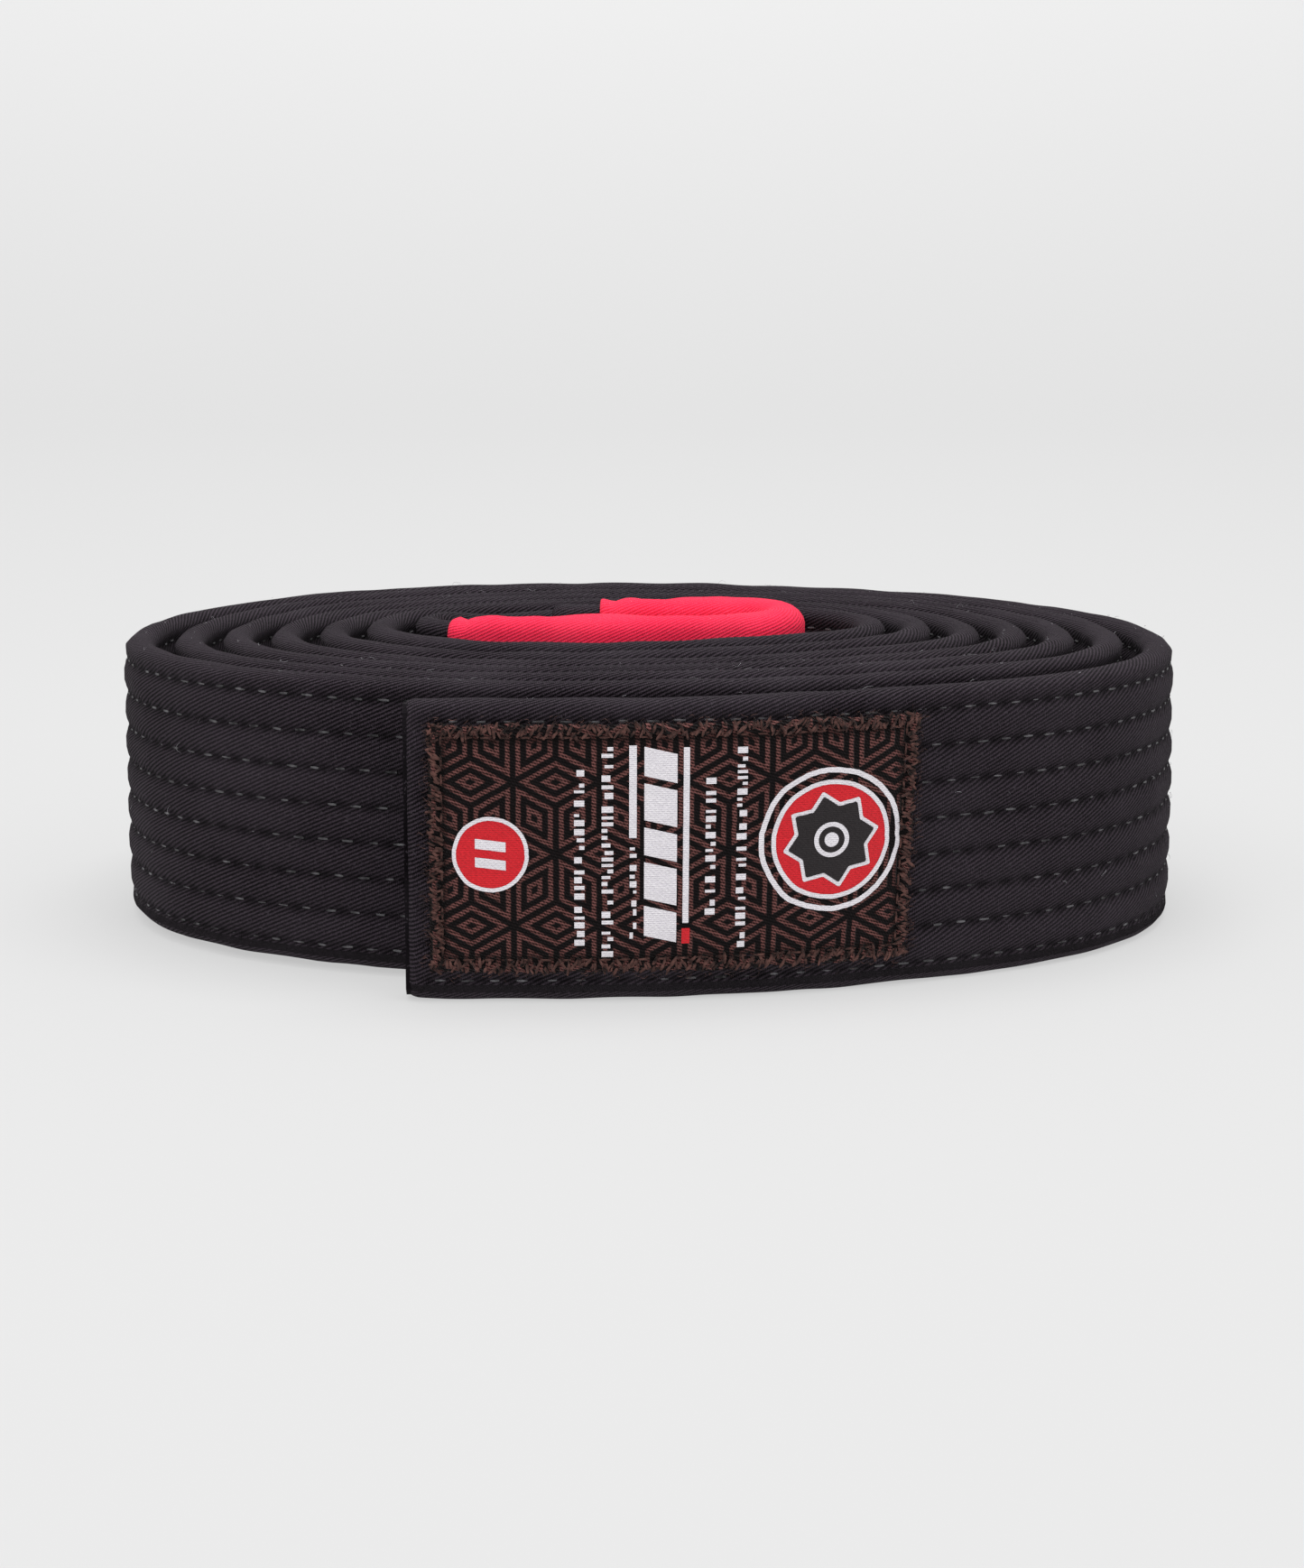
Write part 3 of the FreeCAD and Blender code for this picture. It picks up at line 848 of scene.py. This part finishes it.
def twill(name, dark, light, dust, sheen, pitch=TWILL_PITCH, relief=0.00024):
    """Cotton twill: slanting ribs of fine yarns, with a little dust and wear, and painted shade where the
    quilting draws the cloth in.
    """
    shader = Shader(name, 0.9, sheen, 0.06)
    u, v = shader.cloth_axes()
    warp = shader.add(shader.times(shader.noise(180, 2), 0.25), shader.times(shader.noise(1400, 2), 0.12))
    slant = shader.add(shader.times(v, math.cos(TWILL_ANGLE) / pitch),
                       shader.times(u, -math.sin(TWILL_ANGLE) / pitch))
    rib_phase = shader.add(slant, warp)
    rib = shader.maths("PINGPONG", rib_phase, 0.5)
    rib = shader.times(rib, 2.0)
    rib = shader.maths("SMOOTH_MIN", rib, 0.8, 0.3)
    yarn_phase = shader.add(shader.times(u, 1.0 / 0.32), shader.times(v, 0.35))
    yarn = shader.maths("SINE", shader.times(yarn_phase, 2 * math.pi))
    yarn_height = shader.times(yarn, 0.16)
    fuzz = shader.noise(5200, 4)
    height = shader.add(shader.add(rib, yarn_height), shader.times(fuzz, 0.7))
    level = shader.add(shader.times(rib, 1.4), shader.times(yarn, 0.14))
    shade = shader.clamp(shader.add(level, shader.add(shader.times(fuzz, 2.1), -0.33)))
    body = shader.mix(shade, dark, light)
    patch = shader.clamp(shader.add(shader.times(shader.noise(45, 4), 1.6), 0.25))
    body = shader.mix(shader.times(patch, 0.35), body, dust)
    specks = shader.maths("GREATER_THAN", shader.noise(2600, 0), 0.24)
    body = shader.mix(shader.times(specks, 0.35), body, dust)
    # painted shade: the cloth is darkened where the quilting draws it in, standing in for the shade in the
    # grooves
    depth = shader.times(shader.maths("POWER", shader.sunk(), 2.5), 0.75)
    body = shader.mix(depth, body, tuple(c * 0.25 for c in dark))
    shader.colour(body)
    shader.bump(height, relief)
    return shader.material


def thread_material(name, colour, dark, grain=420):
    """Twisted sewing thread, some of it dusty."""
    shader = Shader(name, 0.6, 0.1)
    tint = shader.clamp(shader.add(shader.times(shader.noise(grain, 3), 3.0), 0.5))
    shader.colour(shader.mix(tint, dark, colour))
    shader.bump(shader.noise(6000, 2), 0.00008)
    return shader.material


def woven_floss(name, colour, dark):
    """Dense satin weave of the label's marks: fine threads running along the belt."""
    shader = Shader(name, 0.55, 0.3)
    u, v = shader.cloth_axes()
    line = shader.maths("SINE", shader.times(shader.add(v, shader.times(shader.noise(700, 1), 0.06)),
                                             2 * math.pi / 0.30))
    broken = shader.maths("SINE", shader.add(shader.times(u, 2 * math.pi / 0.85), shader.times(v, 9.0)))
    height = shader.add(shader.times(line, 0.5), shader.times(broken, 0.2))
    shade = shader.clamp(shader.add(shader.add(shader.times(height, 0.4), 0.62),
                                    shader.times(shader.noise(2500, 2), 0.8)))
    shader.colour(shader.mix(shade, dark, colour))
    shader.bump(height, 0.00010)
    return shader.material


def hexagon_lines(shader, u, v, side, bands):
    """1 on the lines of lozenges nested inside each other, three lozenges to a hexagon."""
    def lattice(shift_u, shift_v):
        """Offset from the centre of the nearest cell of one rectangular lattice."""
        wide = side * math.sqrt(3)
        tall = side * 3
        du = shader.maths("WRAP", shader.add(u, shift_u), wide / 2, -wide / 2)
        dv = shader.maths("WRAP", shader.add(v, shift_v), tall / 2, -tall / 2)
        return du, dv, shader.add(shader.times(du, du), shader.times(dv, dv))

    au, av, a_far = lattice(0.0, 0.0)
    bu, bv, b_far = lattice(side * math.sqrt(3) / 2, side * 1.5)
    nearer = shader.maths("LESS_THAN", a_far, b_far)
    du = shader.add(bu, shader.times(nearer, shader.maths("SUBTRACT", au, bu)))
    dv = shader.add(bv, shader.times(nearer, shader.maths("SUBTRACT", av, bv)))
    # distances from the three spokes and the hexagon's rim, whichever is least
    spokes = []
    for turn in (0.0, 2 * math.pi / 3, 4 * math.pi / 3):
        c = math.cos(turn)
        s = math.sin(turn)
        forward = shader.add(shader.times(du, s), shader.times(dv, c))
        sideways = shader.maths("ABSOLUTE", shader.maths("SUBTRACT", shader.times(du, c),
                                                         shader.times(dv, s)))
        behind = shader.times(shader.maths("LESS_THAN", forward, 0.0), 100.0)
        spokes.append(shader.add(sideways, behind))
    rims = []
    for turn in (0.0, math.pi / 3, 2 * math.pi / 3):
        reach = shader.maths("ABSOLUTE", shader.add(shader.times(du, math.cos(turn)),
                                                    shader.times(dv, math.sin(turn))))
        rims.append(shader.maths("SUBTRACT", side * math.sqrt(3) / 2, reach))
    least = spokes[0]
    for other in spokes[1:] + rims:
        least = shader.maths("MINIMUM", least, other)
    step = side * math.sqrt(3) / 4 / bands
    wave = shader.maths("PINGPONG", least, step / 2)
    return shader.clamp(shader.times(shader.maths("SUBTRACT", step * 0.32, wave), 7.0))


def label_material():
    """Brown and black damask: nested lozenges in fine ribbed weave, with painted shade along the sunken
    stitch line.
    """
    shader = Shader("label weave", 0.65, 0.06, 0.05)
    u, v = shader.cloth_axes()
    u_soft = shader.add(u, shader.times(shader.noise(600, 2), 0.22))
    v_soft = shader.add(v, shader.times(shader.noise(650, 2), 0.22))
    lines = hexagon_lines(shader, u_soft, v_soft, 7.3, 2)
    rib = shader.maths("SINE", shader.add(shader.times(v, 2 * math.pi / 0.46), shader.times(u, 4.0)))
    cross = shader.maths("SINE", shader.add(shader.times(u, 2 * math.pi / 0.42), shader.times(v, 8.0)))
    weave = shader.add(shader.times(rib, 0.7), shader.times(cross, 0.3))
    shade = shader.clamp(shader.add(shader.add(shader.times(weave, 0.6), 0.45),
                                    shader.times(shader.noise(2200, 2), 1.2)))
    brown = shader.mix(shade, (0.012, 0.004, 0.003), (0.250, 0.100, 0.092))
    black = shader.mix(shade, (0.0015, 0.001, 0.001), (0.012, 0.008, 0.009))
    body = shader.mix(lines, brown, black)
    # painted shade along the stitch line, where the label is drawn in
    shader.colour(shader.mix(shader.times(shader.sunk(), 0.8), body, (0.003, 0.002, 0.002)))
    shader.bump(shader.add(weave, shader.times(lines, -1.6)), 0.00016)
    return shader.material


def floor_material():
    """Pale paper that glows a little, so that shadows on it stay faint."""
    shader = Shader("pale floor", 0.95, specular=0.0)
    split = shader.nodes.new("ShaderNodeSeparateXYZ")
    coords = shader.nodes.new("ShaderNodeTexCoord")
    shader.links.new(coords.outputs["Object"], split.inputs[0])
    climb = shader.clamp(shader.times(split.outputs[2], 2.5))
    shader.colour(shader.mix(climb, (0.22, 0.22, 0.22), (0.34, 0.34, 0.34)))
    shader.surface.inputs["Emission Color"].default_value = (1, 1, 1, 1)
    shader.surface.inputs["Emission Strength"].default_value = FLOOR_GLOW
    return shader.material


def cotton_material():
    shader = Shader("core cotton", 0.9, 0.2)
    shader.colour(shader.mix(shader.clamp(shader.add(shader.noise(900, 3), 0.5)),
                             (0.55, 0.52, 0.45), (0.78, 0.75, 0.68)))
    return shader.material


# ---------------------------------------------------------------- the stage
CAMERA_LENS = 72.8
CAMERA_TILT = math.radians(10.23)  # below level
CAMERA_BACK = 0.4638               # metres in front of the CAD box
CAMERA_X = 0.0005
CAMERA_HEIGHT = 0.1174
WORLD_LIGHT = 0.80
FLOOR_GLOW = 0.51
# name, place and target in metres, size in metres, power in watts
LAMPS = (("key", (-0.45, -0.75, 0.85), (0, 0, 0.02), 0.6, 2.6),
         ("top", (0.05, 0.10, 1.10), (0, 0, 0.02), 0.8, 7.6),
         ("fill", (0.8, -0.6, 0.6), (0, 0, 0.02), 0.8, 1.0),
         ("wall", (0.0, 1.0, 1.5), (0, 2.4, 0.9), 1.2, 9.0))


def stage():
    """A pale floor that sweeps up far behind, and soft lights."""
    turn = np.linspace(0, math.pi / 2, 16)
    y = np.concatenate([[-3.0, 0.0], 1.2 + 1.2 * np.sin(turn), [2.4]])
    z = np.concatenate([[0.0, 0.0], 1.2 - 1.2 * np.cos(turn), [4.0]])
    points = [(x, b, c) for b, c in zip(y, z) for x in (-4.0, 4.0)]
    mesh = bpy.data.meshes.new("backdrop")
    mesh.from_pydata(points, [], [f[::-1] for f in grid_faces(len(y), 2)])
    mesh.shade_smooth()
    mesh.materials.append(floor_material())
    floor = bpy.data.objects.new("backdrop", mesh)
    bpy.context.scene.collection.objects.link(floor)

    world = bpy.data.worlds.new("studio")
    bpy.context.scene.world = world
    world.use_nodes = True
    world.node_tree.nodes["Background"].inputs[0].default_value = (1, 1, 1, 1)
    world.node_tree.nodes["Background"].inputs[1].default_value = WORLD_LIGHT
    bpy.context.scene.view_settings.view_transform = "Standard"

    for name, spot, target, size, power in LAMPS:
        lamp = bpy.data.lights.new(name, "AREA")
        lamp.size = size
        lamp.energy = power
        holder = bpy.data.objects.new(name, lamp)
        bpy.context.scene.collection.objects.link(holder)
        holder.location = spot
        aim(holder, target)


def aim(thing, target):
    way = Vector(target) - thing.location
    thing.rotation_euler = way.to_track_quat("-Z", "Y").to_euler()


def camera():
    """Level with a viewer looking slightly down on the label."""
    eye = bpy.data.cameras.new("camera")
    eye.lens = CAMERA_LENS
    eye.sensor_width = 36
    eye.sensor_fit = "AUTO"
    eye.clip_start = 0.01
    holder = bpy.data.objects.new("camera", eye)
    bpy.context.scene.collection.objects.link(holder)
    holder.location = (CAMERA_X, cad_low[1] - CAMERA_BACK, CAMERA_HEIGHT)
    holder.rotation_euler = (math.pi / 2 - CAMERA_TILT, 0, 0)
    bpy.context.scene.camera = holder


def main():
    black = twill("black twill", (0.0026, 0.0018, 0.0026), (0.058, 0.044, 0.057), (0.080, 0.067, 0.081), 0.02)
    red = twill("red twill", (0.93, 0.018, 0.060), (1.0, 0.045, 0.12), (1.0, 0.09, 0.15), 0.05,
                pitch=0.55, relief=0.00014)
    grey_thread = thread_material("quilting thread", (0.16, 0.155, 0.165), (0.012, 0.011, 0.012))
    brown_thread = thread_material("label thread", (0.135, 0.062, 0.052), (0.004, 0.003, 0.003), grain=900)
    red_thread = thread_material("sleeve thread", (1.0, 0.05, 0.10), (0.7, 0.02, 0.05))
    pale_lint = thread_material("lint", (0.50, 0.49, 0.52), (0.2, 0.19, 0.21))
    white = woven_floss("white floss", (1.0, 0.97, 1.0), (0.62, 0.58, 0.65))
    crimson = woven_floss("red floss", (0.88, 0.022, 0.035), (0.42, 0.008, 0.014))
    ink = woven_floss("black floss", (0.03, 0.024, 0.026), (0.008, 0.006, 0.007))
    cotton = cotton_material()

    cover(black)
    quilting(grey_thread)
    end_stitching(grey_thread)
    patch = label(label_material())
    label_marks(white, crimson, ink)
    label_stitches(brown_thread)
    label_hem(brown_thread)
    wrap = sleeve(red)
    sleeve_stitches(red_thread)
    lint(pale_lint)
    frayed_rim(brown_thread)
    for name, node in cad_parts.items():
        if name.startswith("core_ply"):
            node.data.materials.clear()
            node.data.materials.append(cotton)
        if name.endswith("_tuck"):
            node.data.materials.clear()
            node.data.materials.append(black)
    stage()
    camera()


main()
